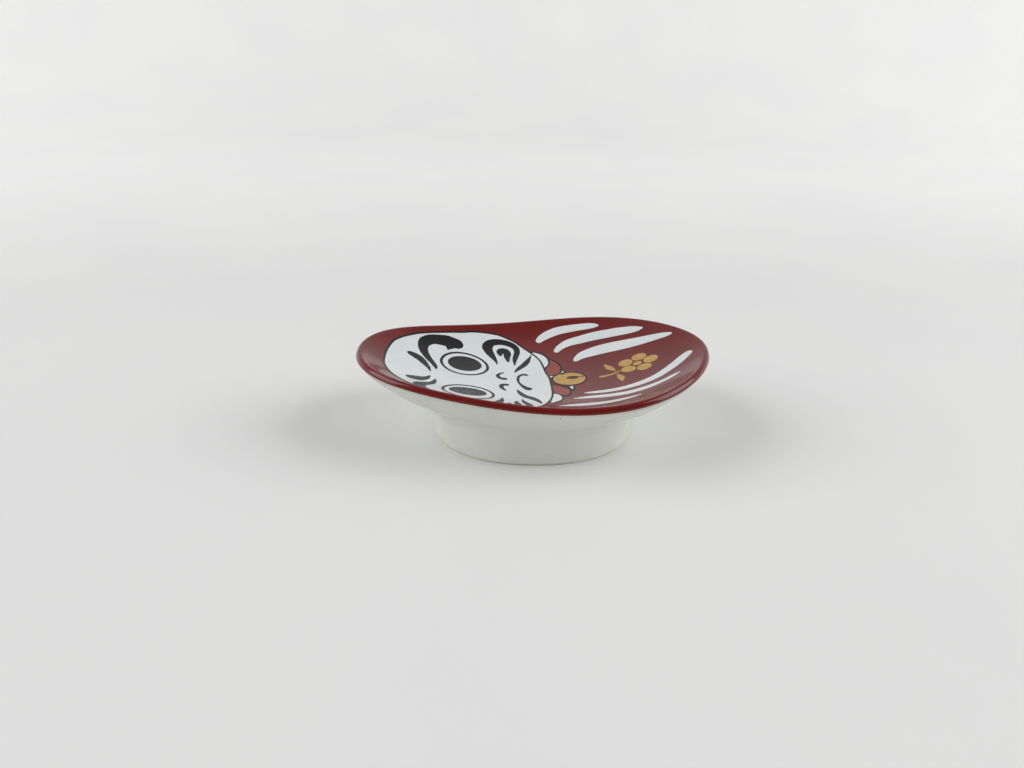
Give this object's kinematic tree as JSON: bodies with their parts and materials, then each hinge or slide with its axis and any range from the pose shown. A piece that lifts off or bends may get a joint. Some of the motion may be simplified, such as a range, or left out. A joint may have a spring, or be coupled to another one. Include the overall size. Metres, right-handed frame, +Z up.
{
  "type": "dish-shaped chopstick rest",
  "caption": "Small oval porcelain chopstick rest shaped as a dish on a tall foot, glazed brick red inside and painted with a round-eyed doll's face, a collar with a bell, white stripes and a gold blossom",
  "frame": {"origin": "on the table, under the middle of the dish's outline", "axes": "+X runs along the dish from the doll's head to the foot of its robe, +Y is the doll's left, +Z is up"},
  "size_m": [0.0602, 0.0442, 0.0153],
  "materials": {
    "glazed_porcelain": "clear glossy glaze over white porcelain, bare on the foot's bottom edge",
    "red_glaze": "glossy brick red, a little uneven",
    "white_enamel": "glossy",
    "black_enamel": "satin",
    "orange_red_enamel": "glossy",
    "gold_enamel": "satin ochre gold",
    "brown_enamel": "glossy"
  },
  "bodies": {
    "root": {"dish_body": "glazed_porcelain", "foot_ring": "glazed_porcelain", "red_ground": "red_glaze", "face_panel": "white_enamel", "face_outline": "black_enamel", "left_brow": "black_enamel", "right_brow": "black_enamel", "left_forehead_mark": "black_enamel", "right_forehead_mark": "black_enamel", "left_eye_ring": "black_enamel", "right_eye_ring": "black_enamel", "left_pupil": "black_enamel", "right_pupil": "black_enamel", "left_nostril": "black_enamel", "right_nostril": "black_enamel", "left_cheek_arch": "black_enamel", "right_cheek_arch": "black_enamel", "left_cheek_curl": "black_enamel", "right_cheek_curl": "black_enamel", "mouth": "black_enamel", "left_chin_stroke": "black_enamel", "right_chin_stroke": "black_enamel", "collar_white": "white_enamel", "collar_red": "orange_red_enamel", "collar_outline": "black_enamel", "bell": "gold_enamel", "bell_outline": "black_enamel", "bell_slit": "brown_enamel", "blossom_sprig": "gold_enamel", "left_stripes": "white_enamel", "right_stripes": "white_enamel"}
  },
  "joints": []
}
